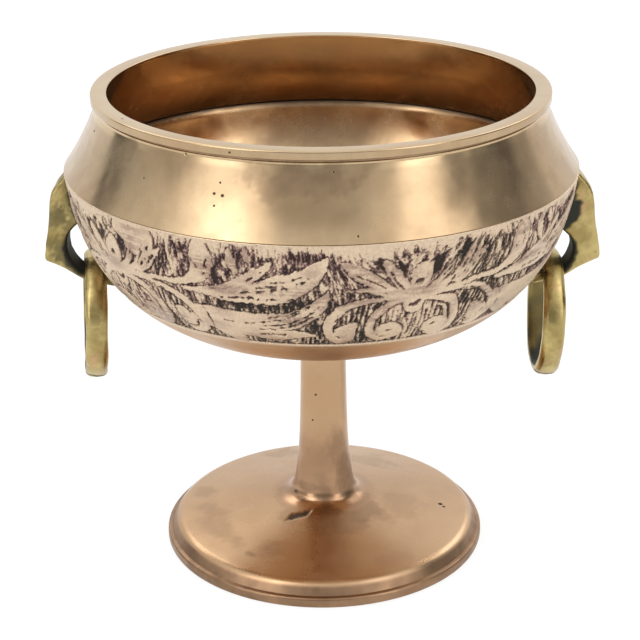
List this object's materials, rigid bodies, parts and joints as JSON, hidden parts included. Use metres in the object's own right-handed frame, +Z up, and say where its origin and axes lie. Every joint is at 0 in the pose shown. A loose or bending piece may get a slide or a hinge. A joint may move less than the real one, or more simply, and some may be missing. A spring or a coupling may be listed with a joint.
{
  "type": "footed brass bowl",
  "caption": "Footed round brass bowl on a slender flared stem, with an etched leaf-scroll band and loose ring handles hanging from side lugs.",
  "frame": {"origin": "centre of the foot's underside, on the surface the bowl stands on", "axes": "+Z up along the stem; the two ring handles lie on +X (right) and -X (left); -Y is the side that faces the camera"},
  "size_m": [0.1372, 0.1244, 0.1201],
  "materials": {
    "shoulder_brass": "polished, softly worn",
    "etched_brass": "etched, with dark patina in the recesses",
    "foot_brass": "worn satin",
    "handle_brass": "cast, satin, tarnished in the corners"
  },
  "bodies": {
    "bowl": {"shoulder": "shoulder_brass", "basin": "etched_brass", "pedestal": "foot_brass", "stem_stud": "foot_brass", "left_lug": "handle_brass", "right_lug": "handle_brass"},
    "left_ring_body": {"left_ring": "handle_brass"},
    "right_ring_body": {"right_ring": "handle_brass"}
  },
  "joints": [
    {"name": "left_ring_swing", "type": "hinge", "parent": "bowl", "child": "left_ring_body", "pos_m": [-0.05663, 0, 0.07622], "axis": [0.1478, -0.989, 0], "range_deg": [-120, 28]},
    {"name": "right_ring_swing", "type": "hinge", "parent": "bowl", "child": "right_ring_body", "pos_m": [0.05663, 0, 0.07622], "axis": [-0.0175, 0.9998, 0], "range_deg": [-150, 40]}
  ]
}
